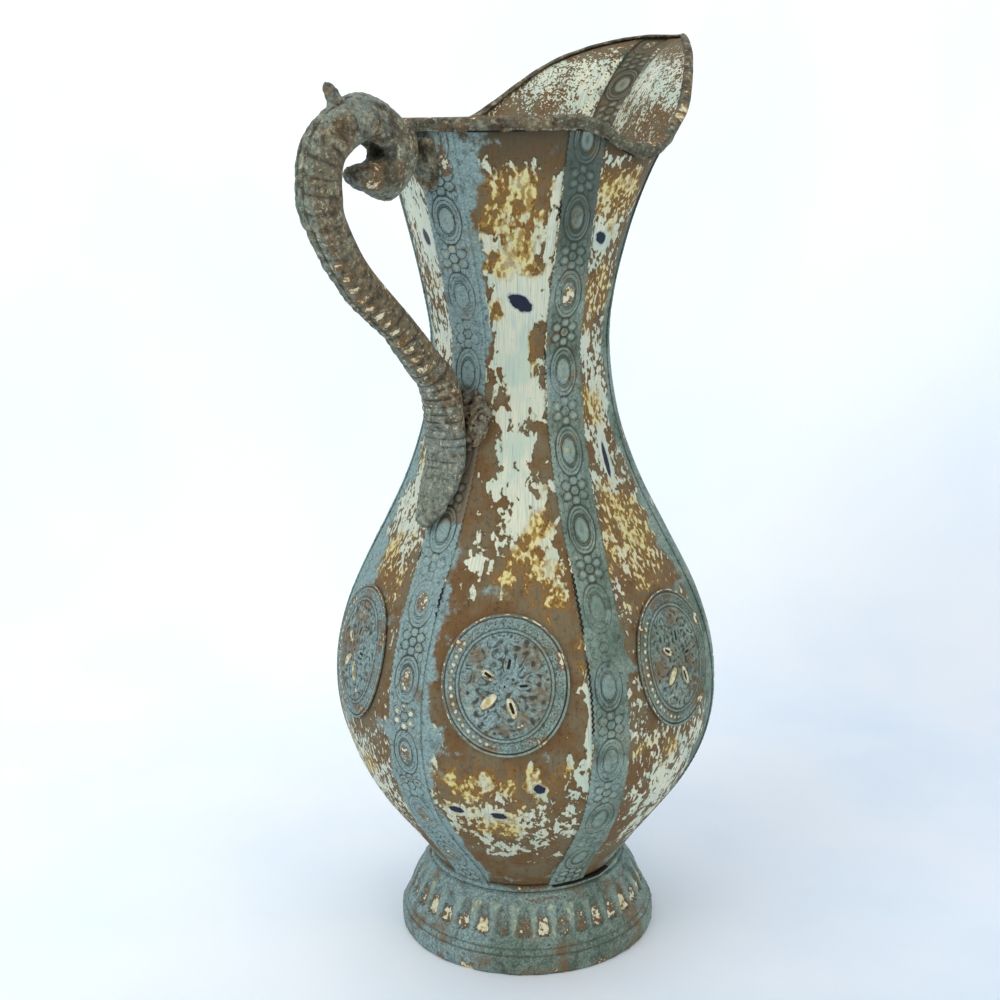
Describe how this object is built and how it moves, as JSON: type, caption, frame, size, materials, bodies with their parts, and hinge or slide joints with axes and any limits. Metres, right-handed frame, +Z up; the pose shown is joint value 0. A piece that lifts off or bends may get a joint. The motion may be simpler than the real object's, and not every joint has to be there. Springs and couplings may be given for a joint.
{
  "type": "footed metal jug",
  "caption": "Footed sheet-metal jug with gored belly, embossed bands, oval medallions, a pinched pouring lip and a cast scroll handle.",
  "frame": {"origin": "on the table under the axis of the body, at the centre of the foot", "axes": "+Z up, +X to the tip of the pouring lip, the handle on -X"},
  "size_m": [0.2793, 0.1836, 0.4398],
  "materials": {
    "foot_metal": "grey-green patina rubbed through to brass on the lobes",
    "gore_metal": "brown lacquer worn in patches to pale brushed metal, with yellow edges",
    "band_metal": "matt grey-green patina over stamped sheet",
    "medallion_metal": "matt grey-green patina over stamped sheet",
    "rim_metal": "brown and grey-green patina",
    "handle_metal": "dull grey-brown cast metal with rubbed gold flecks",
    "solder": "rough brown solder"
  },
  "bodies": {
    "root": {"foot": "foot_metal", "foot_collar": "foot_metal", "body_floor": "gore_metal", "gore_1": "gore_metal", "band_1": "band_metal", "medallion_1": "medallion_metal", "gore_2": "gore_metal", "band_2": "band_metal", "medallion_2": "medallion_metal", "gore_3": "gore_metal", "band_3": "band_metal", "medallion_3": "medallion_metal", "gore_4": "gore_metal", "band_4": "band_metal", "medallion_4": "medallion_metal", "gore_5": "gore_metal", "band_5": "band_metal", "medallion_5": "medallion_metal", "gore_6": "gore_metal", "band_6": "band_metal", "medallion_6": "medallion_metal", "rim_binding": "rim_metal", "handle": "handle_metal", "upper_saddle": "handle_metal", "heel_solder": "solder"}
  },
  "joints": []
}
